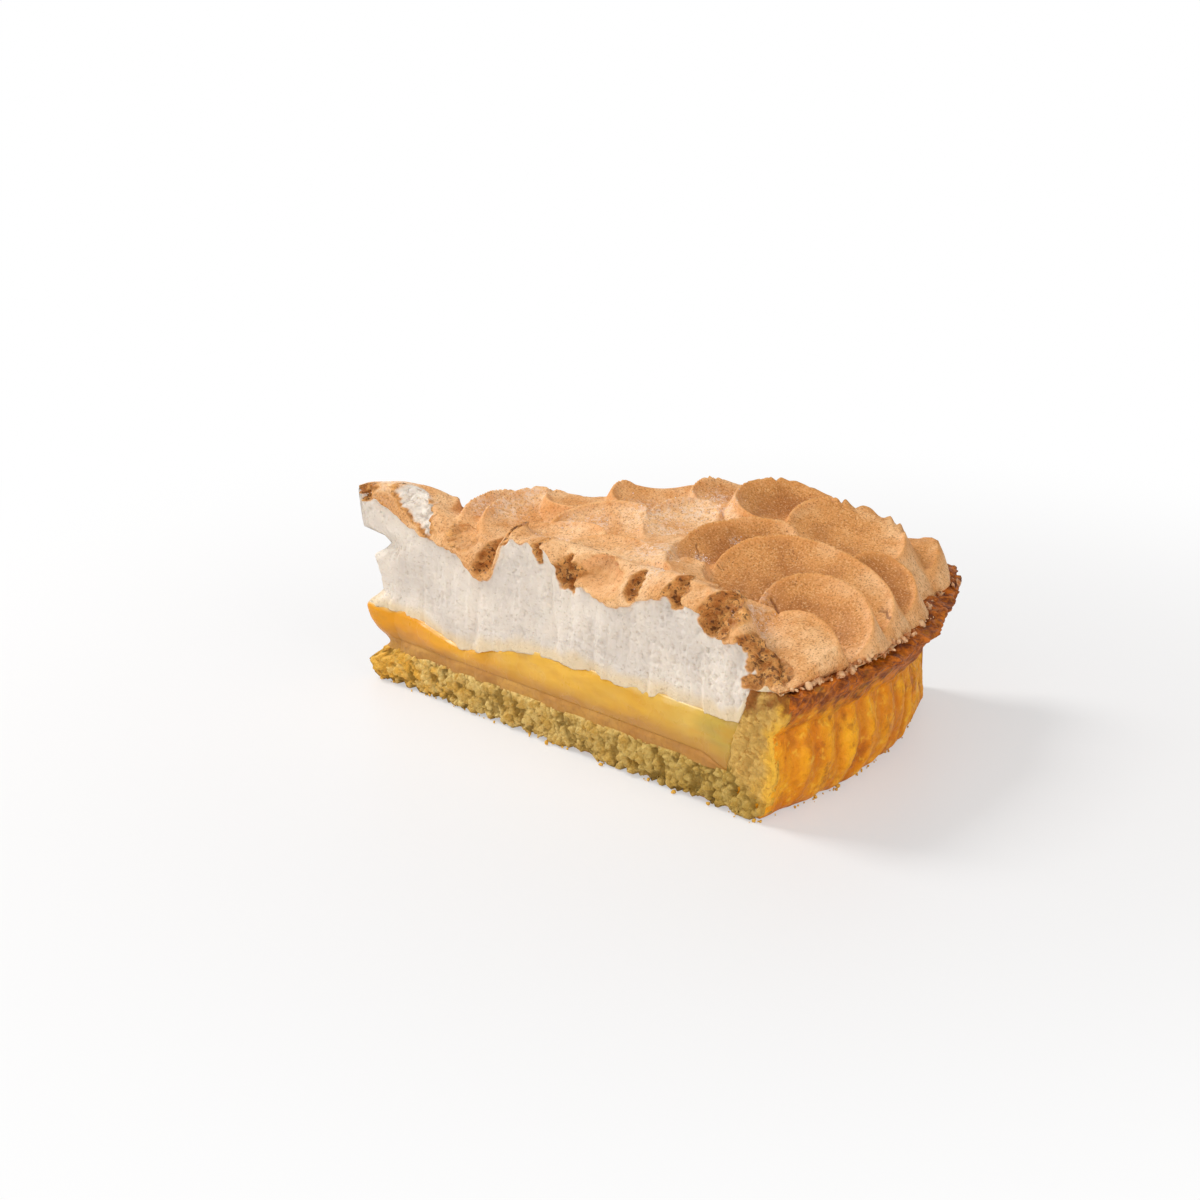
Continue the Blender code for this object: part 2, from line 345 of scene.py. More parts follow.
def pointReach(z):
    # the slice's point is ragged: it leans out at the top, is notched below, and steps at each layer
    return softAlong(z, ((0, -0.5), (4.5, -3.0), (8, 2.0), (10, 4.0), (12, 1.5), (16, -1.5), (19, -2.8),
                         (20.4, -1.5), (22, 1.8), (27, 1.0), (31.5, -0.6), (33.5, 3.4), (35, 4.6),
                         (36.4, 3.6), (38, -3.4), (42, -3.9), (46, -4.6), (50, -4.6), (53, -3.4)), 0.6)


def placePoints(s, t, z, out=0.0):
    # s: millimetres from the point, t: -1 near cut to 1 far cut, out: how far it stands proud of the cut
    turn = t * halfAngle
    rounded = 6.0
    inner = np.clip((rounded - s) / (rounded + 3.0), 0.0, 1.0)
    halfWidth = np.where(s >= rounded, s, rounded * np.sqrt(1.0 - inner ** 2))
    y = halfWidth * np.sin(turn)
    x = np.where(s >= rounded, s * np.cos(turn), s - rounded * (1.0 - np.cos(turn)))
    side = np.where(t < 0, -1.0, 1.0)
    x = x - out * sinHalf
    y = y + out * side * cosHalf
    x = x + (pointReach(z) + 2.9) * bump(s, -2.9, 8.0)
    return spots(x, y, z)


meringueLook = {
    # spoon strokes laid from the back to the front: x, y, turn, half length, half width,
    # height in the middle, rise along it, rise across it, hollow, how brown (baking, and in part painted
    # shade on strokes turned from the light)
    "strokes": (
        (8, 1.8, 5, 12.6, 8.4, 46.4, -1, 1.4, -3.6, 0.1),
        (34, 2, 62, 12, 8, 46.2, 1.8, 1.8, 2.6, 0.2),
        (41, 2, 58, 13, 9, 46, 2.4, 2.4, 2.9, 0.25),
        (50, 14, 30, 10, 7, 48, 0, 1, 1, 0.3),
        (68, 19, 30, 13, 10, 50, 0.5, 2.5, 2.2, 0.35),
        (82, 25, 50, 9, 7, 50.5, 0.5, 2, 1.6, 0.45),
        (96, 26, 50, 13, 9, 49.3, -0.5, 3.2, 2.8, 0.9),
        (64, -2, 15, 14, 9, 46.5, 0.5, 3, 1.6, 0.2),
        (55, -13, 5, 12, 8, 45, 1, 1.5, 1.4, 0.2),
        (77, 8, 70, 11, 7, 47, 2, 1.8, 1.2, 0.1),
        (120.5, 38, -35, 11, 8.5, 38.4, -3.5, 3, -1, 0.6),
        (112, 25, 12, 13.5, 11, 44, -2.5, 4.6, 1.8, 0.5),
        (127, 6, -70, 10.5, 7.5, 37.5, -4.8, -1.5, 1.2, 1.1),
        (74, -21, -15, 12, 8, 45.5, -0.5, 1.5, 0.8, 0.1),
        (95, 0, 58, 16, 8.5, 44.8, 1.2, 3.6, 2.2, 0.8),
        (95, -25, -58, 14, 8, 44.8, 0.8, -1.4, 0.8, 0.35),
        (83, -29, -50, 8, 6.5, 45, 1, -0.6, -0.8, 0.1),
        (114, -9, 0, 20.5, 15.5, 38.5, -4.5, 7, 1.7, 0.85),
        (122, -23, -17, 13, 12, 36.2, -4, 6.4, 2.4, 0.75),
        (111, -36, -58, 12, 7.5, 43.6, 2.6, -3, 0.4, 0.3),
        (126, -40, -50, 14, 8, 35.5, -4.5, 2, -1.2, 0.25),
    ),
    "bank": 1.9,  # how steep a stroke's edge is
    "straightTo": 100,  # from here on the stations bend to the rim
    "front": 136,
    "nearRoll": 7,  # how wide the skin rolls over at each cut
    "farRoll": 4,
    "crackDepth": 0.35,
    "crown": ((0, 46.6), (8, 46.8), (18, 45.6), (24, 43.6), (32, 42.5), (44, 43), (58, 45), (70, 46),
              (84, 46.5), (98, 46), (108, 44.5), (116, 42), (122, 39.5), (127, 36.5), (131, 33.5), (135, 28)),
    # where the browned skin ends on the near cut, from the point to the rim
    "nearSkin": ((-6, 44), (0, 46.5), (5.5, 44.8), (11, 42), (19, 39), (25, 39.4), (32, 38), (37.6, 34.4),
                 (43, 33.8), (46, 40), (48.6, 44.8), (61, 46), (65, 45), (67.5, 38.8), (75, 39.6), (86, 38),
                 (94, 40), (102, 42.6), (110, 43), (114, 40.6), (118, 37.8), (123.5, 38.2), (127, 36),
                 (130, 33), (134, 31)),
    # the line that the top follows just behind the near cut
    "nearCrest": ((-6, 47), (0, 49.5), (8, 50), (20, 46.5), (26, 43.5), (33, 42), (38, 41), (44, 45.5),
                  (49, 50), (54, 47), (60, 48), (70, 47.5), (78, 48.5), (86, 46.5), (92, 46.5), (98, 47.5),
                  (104, 48.2), (110, 46), (114, 47), (118, 48.4), (122, 45.5), (126, 42), (130, 40)),
    "farSkin": ((-6, 48), (20, 44), (45, 45), (62, 42), (80, 45), (100, 43), (112, 38), (124, 33),
                (134, 30.5)),
    # torn and burst places on the cuts: r, z, half length, half height, slope, depth, roughness, brown
    "nearBursts": (
        (-1.5, 47.6, 4.2, 2.6, 0.2, 1.2, 1, 0.9),
        (14.5, 45.4, 7.6, 3.4, -0.6, 2, 0.9, 0),
        (29.5, 42, 4.2, 2.4, -0.3, 2, 0.8, 0.35),
        (41, 40, 4, 5.6, 0.4, 4, 1, 0.8),
        (48.5, 47, 2.4, 3.2, 0.6, 2.4, 1, 0.7),
        (60, 45, 1.4, 2.6, 0, 1.6, 1, 0.6),
        (69, 41, 3.4, 3.8, 0, 2.8, 1, 0.65),
        (79, 43, 8.4, 4.6, -0.1, 4.6, 0.05, 0.3),
        (91, 42.5, 2.6, 3, 0, 2.6, 1, 1),
        (104, 45, 3, 3.6, 0, 3.2, 1, 1),
        (117, 43, 5.2, 5.6, 0.2, 3.8, 1, 0.9),
        (130.5, 36.6, 5.6, 4.9, -0.2, 3.4, 1, 0.9),
        (130, 31.2, 4.6, 1.7, 0.3, 0.3, 0.8, 0.6),
    ),
    "farBursts": (
        (24, 44, 5, 3, -0.2, 2.6, 0.8, 0.6),
        (52, 44, 4, 4, 0.2, 3, 0.7, 0.9),
        (84, 45, 7, 4, 0, 3.2, 0.1, 0.4),
        (108, 41, 5, 4, -0.2, 2.4, 0.3, 0.9),
    ),
    # cracks in the baked skin, as short paths over the plan
    "cracks": (
        ((86.2, -4.4), (90.9, -11.8), (95, -8.5)),
        ((62.9, -19.9), (66.9, -19), (70.7, -20.7), (74.2, -22.8)),
        ((110.6, -19), (112.6, -20.6), (116.5, -28)),
        ((130.7, -5.9), (132.2, -4.7), (134.3, -8.2)),
    ),
    # places where the sugar gathered: x, y, reach
    "sugar": ((55, -14, 4), (55, -3, 3), (59, 0, 3), (33, 4, 5), (36, 10, 4), (4, 2, 4), (70, 8, 6),
              (77, 3, 5), (83, 16, 4), (80, 23, 3), (81, -15, 5), (89, -8, 1.5), (93, 3, 1.2), (107, -20, 3),
              (112, -33, 3.5), (115, -38, 3), (78, 14, 5), (66, 12, 5), (28, 2, 3), (88, -30, 4)),
    "topColumns": 150,
    "nearRollColumns": 34,
    "farRollColumns": 10,
    "nearRows": 68,
    "farRows": 20,
}


def strokeTop(x, y, look=meringueLook):
    # height of the spooned top before it rolls over at the cuts, with how brown it is, which carries painted
    # shade and painted light over each stroke, and the painted highlight along the crests
    r = np.hypot(x, y)
    h = softAlong(r, look["crown"], 2.0)
    brown = np.full(np.shape(r), 0.2)
    crestHighlight = np.zeros(np.shape(r))
    spot = spots(x, y)
    wander = 0.8 * softNoise(spot, 12.0, 31)
    wanderAcross = 0.8 * softNoise(spot, 12.0, 47)
    for cx, cy, turn, length, width, middle, rise, across, hollow, tone in look["strokes"]:
        angle = math.radians(turn)
        dx = x + wander - cx
        dy = y + wanderAcross - cy
        u = (dx * math.cos(angle) + dy * math.sin(angle)) / length
        v = (dy * math.cos(angle) - dx * math.sin(angle)) / width
        q = np.hypot(u, v)
        reach = np.maximum(q, 1.0)
        rim = middle + (rise * u + across * v) / reach
        inside = middle + rise * u + across * v - hollow * (1.0 - q * q)
        away = (q - 1.0) * min(length, width)
        bank = look["bank"] * away
        outside = np.clip(h, rim - bank, rim + bank)
        cover = smooth(1.03, 0.97, q)
        fold = bump(away, 0.0, 0.7) * smooth(0.3, 1.5, rim - h + 0.5)
        h = mix(outside, inside, cover) + 0.7 * fold
        # painted shade and painted light over the stroke's own tone: browner in its middle, paler at its rim,
        # and paler towards one end than the other
        tone = tone * (0.45 + 0.85 * np.clip(1.0 - q * q, 0.0, 1.0)) - 0.15 * u * (q < 1.2)
        brown = mix(np.where(np.abs(outside - h) < 0.4, brown, mix(brown, tone, 0.5)), tone, cover)
        # a painted highlight along the raised lip of each stroke
        crestHighlight = np.maximum(crestHighlight * (1.0 - cover), fold)
    return h, brown, crestHighlight


def crackMarks(x, y, look=meringueLook):
    # how deep each point lies in one of the fine cracks of the baked skin
    spot = spots(x, y)
    x = x + 0.6 * softNoise(spot, 1.7, 61)
    y = y + 0.6 * softNoise(spot, 1.7, 62)
    deep = np.zeros(np.shape(x))
    for path in look["cracks"]:
        for (ax, ay), (bx, by) in zip(path[:-1], path[1:]):
            length = math.hypot(bx - ax, by - ay)
            share = np.clip(((x - ax) * (bx - ax) + (y - ay) * (by - ay)) / length ** 2, 0.0, 1.0)
            away = np.hypot(x - ax - share * (bx - ax), y - ay - share * (by - ay))
            deep = np.maximum(deep, bump(away, 0.0, 0.33))
    return deep


def dustMarks(x, y, look=meringueLook):
    # where the sugar has gathered
    total = np.zeros(np.shape(x))
    for cx, cy, reach in look["sugar"]:
        total = np.maximum(total, bump(np.hypot(x - cx, y - cy), 0.0, reach))
    return total


def outerReach(turn, look=meringueLook):
    # radius at which the meringue comes down to the rim, for any direction
    line = np.linspace(-halfAngle, halfAngle, 120)
    radii = np.arange(118.0, 139.5, 0.25)
    rGrid, tGrid = np.meshgrid(radii, line, indexing="ij")
    h, _, _ = strokeTop(rGrid * np.cos(tGrid), rGrid * np.sin(tGrid), look)
    low = h < wallHeight(rGrid) + 1.6
    first = np.where(low.any(0), low.argmax(0), len(radii) - 1)
    reach = np.clip(radii[first], 130.0, 138.0) - 7.5 * smooth(0.68, 1.0, line / halfAngle)
    reach = np.convolve(np.pad(reach, 2, mode="edge"), np.ones(5) / 5.0, mode="valid")
    return np.interp(turn, line, reach)


def followRim(s, t, look=meringueLook):
    # the last stations spread out to the meringue's own edge along the rim
    straight = look["straightTo"]
    reach = outerReach(t * halfAngle)
    return np.where(s <= straight, s,
                    straight + (s - straight) * (reach - straight) / (look["front"] - straight))


def meringueFloor(r):
    # what it lies on: the lemon, and further out the pastry wall and its rim
    return np.where(r < 121.0, curdTop(r), np.maximum(wallHeight(r), curdTop(121.0)))


def burstMarks(r, z, bursts, salt):
    # what burst bubbles and torn places leave: depth, brown, roughness, and bare white foam
    spot = spots(r, z, 3.0 * salt)
    ragged = 0.22 * softNoise(spot, 3.0, salt + 3) + 0.12 * softNoise(spot, 1.1, salt + 5)
    depth, brown, rough, bare = np.zeros((4, *np.shape(r)))
    for cr, cz, length, height, slope, deep, grain, tone in bursts:
        q = np.hypot((r - cr) / length, (z - cz - slope * (r - cr)) / height) + ragged * (0.4 + 0.6 * grain)
        hole = smooth(1.0, 0.45, q)
        depth = np.maximum(depth, deep * hole)
        edge = smooth(1.18, 0.9, q)
        ring = bump(q, 0.98, 0.14) * (0.35 + 0.4 * grain)
        brown = np.maximum(brown, np.maximum(edge * tone, ring))
        rough = np.maximum(rough, edge * grain)
        if tone == 0:
            bare = np.maximum(bare, smooth(0.92, 0.76, q))
    return depth, brown, rough, bare


def frothRelief(spot, salt):
    # the torn bubbles inside a burst place
    near, second = cellNoise(spot, 1.5, salt + 9)
    return 0.9 * smooth(0.05, 0.5, second - near) - 0.75 + 0.5 * softNoise(spot, 1.6, salt + 11, 2)


def cutRelief(r, z, edge, floor, bursts, salt):
    # how far the torn foam of a cut stands out from it, and the marks for its colours
    spot = spots(r, z, 5.0 * salt)
    drag = spot * (1.0, 0.16, 1.0)  # the knife pulled the foam up and down
    below = smooth(0.1, 0.5, edge - z)
    waves = 0.9 * softNoise(spot, 12.0, salt + 1) + 0.6 * softNoise(drag, 2.8, salt + 2, 3)
    near, _ = cellNoise(spot + 0.4 * softNoise(spot, 2.0, salt + 7)[..., None], 2.0, salt + 3)
    openness = smooth(-0.15, 0.5, softNoise(spot, 9.0, salt + 4) + 0.45 * smooth(60.0, 115.0, r))
    pits = smooth(0.45, 0.12, near) * (0.25 + 0.75 * openness)
    grit = (0.14 + 0.14 * openness) * softNoise(spot, 1.1, salt + 5, 2)
    calm = smooth(0.5, 4.0, z - floor)
    groove = 1.1 * bump(r + 0.15 * (z - 30.0), 64.0, 1.4) * smooth(44.0, 38.0, z)
    groove = groove + 0.6 * bump(r - 0.1 * (z - 30.0), 38.0, 1.2) * smooth(36.0, 31.0, z)
    lip = 0.75 * smooth(0.5, 0.0, edge - z) * smooth(3.0, 0.6, z - edge)
    depth, tone, rough, bare = burstMarks(r, z, bursts, salt)
    relief = below * (waves + calm * (grit - 0.75 * pits - groove) - 0.25)
    relief = relief + lip - depth + rough * frothRelief(spot, salt)
    damp = smooth(3.2, 0.2, z - floor + 0.9 * softNoise(spot, 4.0, salt + 6))
    return relief, {"skin": 1.0 - np.maximum(below, bare), "damp": damp, "toast": tone, "froth": rough,
                    "brown": 0.3}


def skinEdge(stations, skin, spread, grain, salt):
    # the height at which the browned skin ends on a cut
    line = spots(stations, 0.0)
    ragged = 1.1 * softNoise(line, 5.0, salt, 3) + 0.22 * softNoise(line, grain, salt + 1, 1)
    return (softAlong(stations, skin, spread) + ragged)[:, None]


def cutRows(edge, bottom, rows):
    # heights down a cut, close together just under the skin's edge
    first = np.array([[0.12, 0.3, 0.5]])
    rest = np.linspace(0.0, 1.0, rows - 3)[None, :]
    return np.concatenate([edge - first, edge - 0.7 - (edge - 0.7 - bottom) * rest], 1)


def rollEase(gap, roll):
    # how far up its round edge the skin has come, at this gap from a cut
    return np.sqrt(1.0 - np.clip(1.0 - gap / roll, 0.0, 1.0) ** 2)


def makeMeringue(look=meringueLook):
    # stations run from the point to the rim and each ring goes top, near cut, underside, far cut
    straight = look["straightTo"]
    stations = np.concatenate([np.linspace(-2.9, 6.0, 20), np.arange(6.43, straight, 0.43),
                               np.linspace(straight, look["front"], 100)])
    s = stations[:, None]
    width = 2.0 * np.maximum(s, 2.5) * sinHalf
    nearRoll = np.minimum(look["nearRoll"], 0.3 * width)
    farRoll = np.minimum(look["farRoll"] + 13.0 * smooth(100.0, 122.0, s), 0.2 * width)

    # each top column's share of the way across, from the near cut (0) to the far cut (1)
    farTurn = np.linspace(0.0, math.pi / 2, look["farRollColumns"], endpoint=False)
    nearTurn = np.linspace(math.pi / 2, 0.0, look["nearRollColumns"])
    middle = np.linspace(0.0, 1.0, look["topColumns"] + 2)[1:-1]
    share = np.concatenate([1.0 - farRoll / width * (1.0 - np.cos(farTurn)),
                            mix(1.0 - farRoll / width, nearRoll / width, middle),
                            nearRoll / width * (1.0 - np.cos(nearTurn))], 1)
    t = 2.0 * share - 1.0
    nearGap = share * width
    farGap = (1.0 - share) * width
    r = followRim(s, t)
    flat = placePoints(r, t, np.full(np.shape(r), 60.0))
    x = flat[..., 0]
    y = flat[..., 1]
    h, brown, crestHighlight = strokeTop(x, y)
    split = crackMarks(x, y)
    dust = dustMarks(x, y)
    lumps = 0.2 * softNoise(flat, 7.0, 71, 2) + 0.05 * softNoise(flat, 1.6, 72, 2)
    nearShare = 0.85 * smooth(11.0, 3.0, nearGap) * smooth(127.0, 121.0, r)
    h = mix(h, softAlong(r, look["nearCrest"], 1.2), nearShare) + lumps - look["crackDepth"] * split
    floor = meringueFloor(r) + 0.6
    nearEdge = np.minimum(skinEdge(stations, look["nearSkin"], 1.0, 1.1, 81), h[:, -1:] - 0.6)
    farEdge = np.minimum(skinEdge(stations, look["farSkin"], 1.5, 1.2, 83), h[:, :1] - 0.6)
    top = nearEdge + (h - nearEdge) * rollEase(nearGap, nearRoll)
    top = np.where(farGap < farRoll, farEdge + (h - farEdge) * rollEase(farGap, farRoll), top)
    top = np.maximum(top, floor + 0.5)

    # the near cut: foam below the skin, smeared thin over the lemon at its foot
    line = spots(stations, 0.0)
    smear = 0.5 + 0.8 * np.abs(softNoise(line, 8.0, 91, 2)) + 0.22 * softNoise(line, 2.4, 92, 2)
    foot = floor[:, -1:] - 0.3 - (smear * smooth(125.0, 118.0, stations))[:, None]
    nearZ = cutRows(nearEdge, foot, look["nearRows"])
    farZ = cutRows(farEdge, floor[:, :1] - 0.2, look["farRows"])[:, ::-1]
    nearR = np.repeat(r[:, -1:], nearZ.shape[1], 1)
    farR = np.repeat(r[:, :1], farZ.shape[1], 1)
    nearSalt = 100
    farSalt = 200
    nearRelief, nearMarks = cutRelief(nearR, nearZ, nearEdge, floor[:, -1:], look["nearBursts"], nearSalt)
    farRelief, farMarks = cutRelief(farR, farZ, farEdge, floor[:, :1], look["farBursts"], farSalt)

    # the rolled-over skin takes part in the bursts too
    depth, tone, rough, bare = burstMarks(r, top, look["nearBursts"], nearSalt)
    farDepth, farTone, farRough, _ = burstMarks(r, top, look["farBursts"], farSalt)
    froth = frothRelief(spots(r, top, nearGap + 500.0), nearSalt)
    near = smooth(7.0, 2.5, nearGap)
    far = smooth(4.5, 1.5, farGap)
    topOut = near * (rough * froth - depth) + 0.75 * smooth(2.0, 0.2, nearGap)
    topOut = np.where(t > 0, far * (farRough * froth - farDepth), topOut)
    topRough = np.where(t > 0, farRough * far, rough * near)
    topMarks = {"skin": 1.0 - bare * near, "toast": np.where(t > 0, farTone * far, tone * near),
                "froth": topRough, "brown": brown, "crestHighlight": crestHighlight, "split": split,
                "dust": dust * (1.0 - topRough)}

    underT = np.linspace(-1.0, 1.0, 7)[None, 1:-1] + 0.0 * s
    underR = followRim(s, underT)
    underMarks = {"skin": smooth(120.0, 124.0, underR)}
    underRing = placePoints(underR, underT, meringueFloor(underR) + 0.3)
    nearRing = placePoints(nearR, -1.0 + 0.0 * nearR, nearZ, nearRelief)
    farRing = placePoints(farR, 1.0 + 0.0 * farR, farZ, farRelief)
    rings = np.concatenate([placePoints(r, t, top, topOut), nearRing, underRing, farRing], 1)
    parts = ((r, topMarks), (nearR, nearMarks), (underR, underMarks), (farR, farMarks))
    marks = {}
    for name in ("skin", "damp", "toast", "froth", "brown", "crestHighlight", "split", "dust"):
        marks[name] = np.concatenate([own.get(name, 0.0) + 0.0 * part for part, own in parts], 1)

    # tuck the front under a little, so that a shadow lies between it and the rim
    tucks = []
    for inward, down in ((-0.35, 0.35), (-0.1, 0.7), (0.7, 0.95)):
        ring = rings[-1].copy()
        span = np.hypot(ring[:, 0], ring[:, 1])
        floorHere = wallHeight(span) + 0.2
        ring[:, 2] = np.maximum(ring[:, 2] - down * (ring[:, 2] - floorHere), floorHere)
        ring[:, :2] *= (1.0 - inward / span)[:, None]
        tucks.append(ring)
    rings = np.concatenate([rings, np.array(tucks)])
    for name, values in marks.items():
        marks[name] = np.concatenate([values, np.repeat(values[-1:], len(tucks), 0)])
    return loftRings("meringueSpooned", rings, marks)


def meringueFinish():
    bench = startMaterial("brownedMeringue")
    skin = bench.mark("skin")
    fine = bench.noise(1.3, 4.0, 0.65)
    sand = bench.noise(0.45, 2.0, 0.6)
    # the brown mark carries the baking together with painted shade and painted light over the strokes
    baked = bench.stirred(bench.mark("brown"), bench.noise(9.0), 0.3)
    # the skin's pores: painted shade darkens them and a bump presses them in
    pits = bench.math("MULTIPLY", bench.span(bench.cells(0.85), 0.27, 0.06),
                      bench.span(bench.noise(4.0), 0.38, 0.6))
    sifted = bench.math("MULTIPLY", bench.mark("dust"), bench.span(bench.noise(1.1, 4.0, 0.7), 0.42, 0.62))
    brown = bench.coats(
        tint(248, 200, 146),  # pale where it hardly baked
        (baked, -0.15, 0.55, 1.0, (222, 156, 88)),
        (baked, 0.45, 1.25, 0.8, (164, 98, 42)),
        (fine, 0.35, 0.75, 0.4, (196, 122, 54)),
        (pits, 0.75, (124, 66, 20)),
        (sand, 0.54, 0.66, 0.6, (150, 90, 36)),
        (sand, 0.46, 0.32, 0.4, (255, 216, 160)),
        # a painted highlight along the crests
        (bench.mark("crestHighlight"), 0.45, (236, 162, 88)),
        # painted shade in the cracks of the skin
        (bench.mark("split"), 0.3, 0.95, 0.75, (122, 66, 26)),
        (sifted, 0.7, (246, 220, 196)))
    # the foam's pores: painted shade darkens them and a bump presses them in
    foamPits = bench.span(bench.cells(1.0), 0.35, 0.08)
    foam = bench.coats(
        bench.twoTone(bench.noise(14.0), (241, 228, 212), (226, 214, 201), 0.35, 0.65),
        (foamPits, 0.3, (212, 188, 160)),
        (bench.mark("damp"), 0.55, (238, 206, 146)))
    burnt = bench.coats(
        bench.twoTone(bench.noise(2.0, 4.0, 0.7), (168, 100, 38), (240, 176, 100), 0.35, 0.65),
        (bench.noise(1.0, 3.0, 0.6), 0.5, 0.62, 0.9, (92, 48, 14)))
    burnt = bench.blend(bench.mark("froth"), tint(228, 168, 102), burnt)
    colour = bench.coats(bench.blend(skin, foam, brown), (bench.mark("toast"), 0.12, 0.6, 1.0, burnt))
    foamHeight = bench.math("MULTIPLY", foamPits, bench.math("SUBTRACT", 1.0, skin))
    reliefs = ((bench.noise(0.6, 3.0, 0.6), 0.4, 0.6), (bench.noise(2.6, 3.0, 0.6), 0.6, 0.35),
               (pits, -0.4, 0.6), (foamHeight, -0.35, 0.5))
    return bench.finish(colour, bench.span(fine, 0.3, 0.7, 0.52, 0.72), reliefs, 0.12, 0.3)


settle(makeMeringue(), "meringue", meringueFinish())


layerLook = {
    "stations": 340,
    "rowsNear": 26,
    "rowsFar": 12,
    "bandBottom": 8.5,
    "bandReach": 121.5,
}


def makeLayer(name, bottomOf, topOf, endOf, reliefOf, look=layerLook):
    # a wedge-shaped layer: each ring goes down the near cut, across, up the far cut and back
    share = np.linspace(0.0, 1.0, look["stations"])[:, None]
    down = np.linspace(1.0, 0.0, look["rowsNear"])[None, :]
    up = np.linspace(0.0, 1.0, look["rowsFar"])[None, :]
    across = np.array([[-0.5, 0.0, 0.5]])
    rings = []
    marks = []
    for level, t in ((down, -1.0), (0.0 * across, across), (up, 1.0), (1.0 + 0.0 * across, -across)):
        level = level + 0.0 * share
        t = t + 0.0 * level
        z = level * 14.0 + 9.0
        for _ in range(3):
            r = -2.9 + (endOf(z) + 2.9) * share
            z = mix(bottomOf(r), topOf(r), level)
        out = reliefOf(r, z, level, t) * (np.abs(t) > 0.99)
        rings.append(placePoints(r, t, z, out))
        marks.append((level, r / 125.0))
    level, reach = (np.concatenate(parts, 1) for parts in zip(*marks))
    return loftRings(name, np.concatenate(rings, 1), {"level": level, "reach": reach})


def lemonRelief(r, z, level, t):
    spot = spots(r, z, 40.0 * t)
    drag = spots(0.35 * r, z, 40.0 * t)
    soft = 0.4 * softNoise(spot, 11.0, 301, 2) + 0.28 * softNoise(drag, 2.6, 302, 2)
    belly = 0.5 * np.sin(np.clip(level, 0, 1) * math.pi)
    return soft * smooth(0.0, 0.25, level) + belly - 0.1 - 0.4 * smooth(0.85, 1.0, level)


def bandRelief(r, z, level, t):
    spot = spots(r, z, 40.0 * t)
    rough = 0.25 * softNoise(spot, 5.0, 311, 2) + 0.1 * softNoise(spot, 1.4, 312, 1)
    return (rough + 0.25) * smooth(1.0, 0.6, level) - 0.1


def lemonFinish():
    bench = startMaterial("lemonCurd")
    cloud = bench.noise(12.0, 3.0, 0.5, bench.stretched(0.5, 0.5, 1.4))
    mottle = bench.noise(3.2, 3.0, 0.5, bench.stretched(0.45, 0.45, 1.2))
    reach = bench.stirred(bench.mark("reach"), cloud, 0.06)
    height = bench.stirred(bench.mark("level"), mottle, 0.1)
    colour = bench.coats(
        bench.twoTone(cloud, (222, 162, 34), (234, 180, 62)),
        (reach, 0.45, 0.1, 0.95, (230, 152, 4)),  # deeper towards the point
        (reach, 0.6, 0.9, 0.6, (218, 182, 84)),  # paler, then greener towards the wall
        (reach, 0.93, 1.0, 0.6, (176, 150, 56)),
        (mottle, 0.45, 0.7, 0.4, (210, 146, 28)),
        (height, 0.55, -0.02, 0.85, (188, 128, 46)),  # browner towards its foot, above the brown band
        (height, 0.88, 1.05, 0.6, (236, 206, 136)))
    rough = bench.span(bench.noise(5.0, 2.0), 0.35, 0.65, 0.22, 0.5)
    return bench.finish(colour, rough, [(bench.noise(2.6, 2.0, 0.5), 0.5, 0.3)], 0.18, 0.35, 0.003, 0.1)


def bandFinish():
    bench = startMaterial("brownBand")
    cloud = bench.noise(6.0, 3.0, 0.6, bench.stretched(0.5, 0.5, 1.0))
    colour = bench.coats(
        bench.twoTone(cloud, (176, 118, 40), (200, 146, 62)),
        (bench.noise(1.2), 0.45, 0.7, 0.4, (156, 102, 34)))
    rough = bench.span(bench.noise(3.0), 0.3, 0.7, 0.4, 0.62)
    return bench.finish(colour, rough, [(bench.noise(1.0, 3.0, 0.6), 0.35, 0.4)], 0.1)


def bandUpper(r):
    reach = layerLook["bandReach"]
    return slicePlan["bandTop"] + 0.5 - 2.2 * smooth(reach - 9.0, reach, r)


lemon = makeLayer("lemonCurdLayer", lambda r: bandUpper(r) - 0.15, lambda r: curdTop(r) + 0.2,
                  lambda z: wallInside(z) - 0.1, lemonRelief)
settle(lemon, "lemon_filling", lemonFinish())
band = makeLayer("brownBandLayer", lambda r: layerLook["bandBottom"] + 0.0 * r, bandUpper,
                 lambda z: layerLook["bandReach"] + 0.0 * z, bandRelief)
settle(band, "soaked_layer", bandFinish())


caseLook = {
    "flutes": 12,  # across the slice
    "fluteDepth": 0.6,
    "footRadius": 131.0,
    "lipRound": 1.2,
    "stations": 250,
    "outerSteps": 74,
    "rimSteps": 30,
    "innerSteps": 22,
}


def wallOutside(z):
    low = caseLook["footRadius"] + 3.0 * z / 20.0 + 2.5 * np.sin(math.pi * np.clip(z / 20.0, 0, 1))
    high = 134.0 + 6.5 * np.clip((z - 20.0) / 9.5, 0.0, 1.2) ** 0.8
    foot = 1.6 * np.clip(1.0 - z / 2.5, 0.0, 1.0) ** 2
    return np.where(z < 20.0, low, high) - foot


def wallPull(z, turn):
    # towards the far cut the wall stands straighter, so that the lip flares further over it
    return 4.6 * smooth(-0.2, 1.0, turn / halfAngle) * smooth(1.0, 12.0, z) * smooth(28.5, 21.0, z)


def caseOutline(outer, rim, inner):
    # the wall's outline from the foot up over the lip and down to the floor, as (r, z, bake)
    z = np.linspace(0.0, slicePlan["lipHeight"], outer)
    points = [(wallOutside(h), h) for h in z]
    for k in range(1, rim):
        share = k / (rim - 1)
        r = mix(slicePlan["lipRadius"], 129.0, share)
        roll = caseLook["lipRound"] * math.sin(math.pi * min(share * 1.6, 0.5))
        points.append((r, 29.0 + roll * 0.9 + mix(0.6, -1.3, share)))
    for k in range(1, inner):
        h = mix(28.0, baseTop, k / (inner - 1))
        points.append((wallInside(h), h))
    return np.array(points, float)


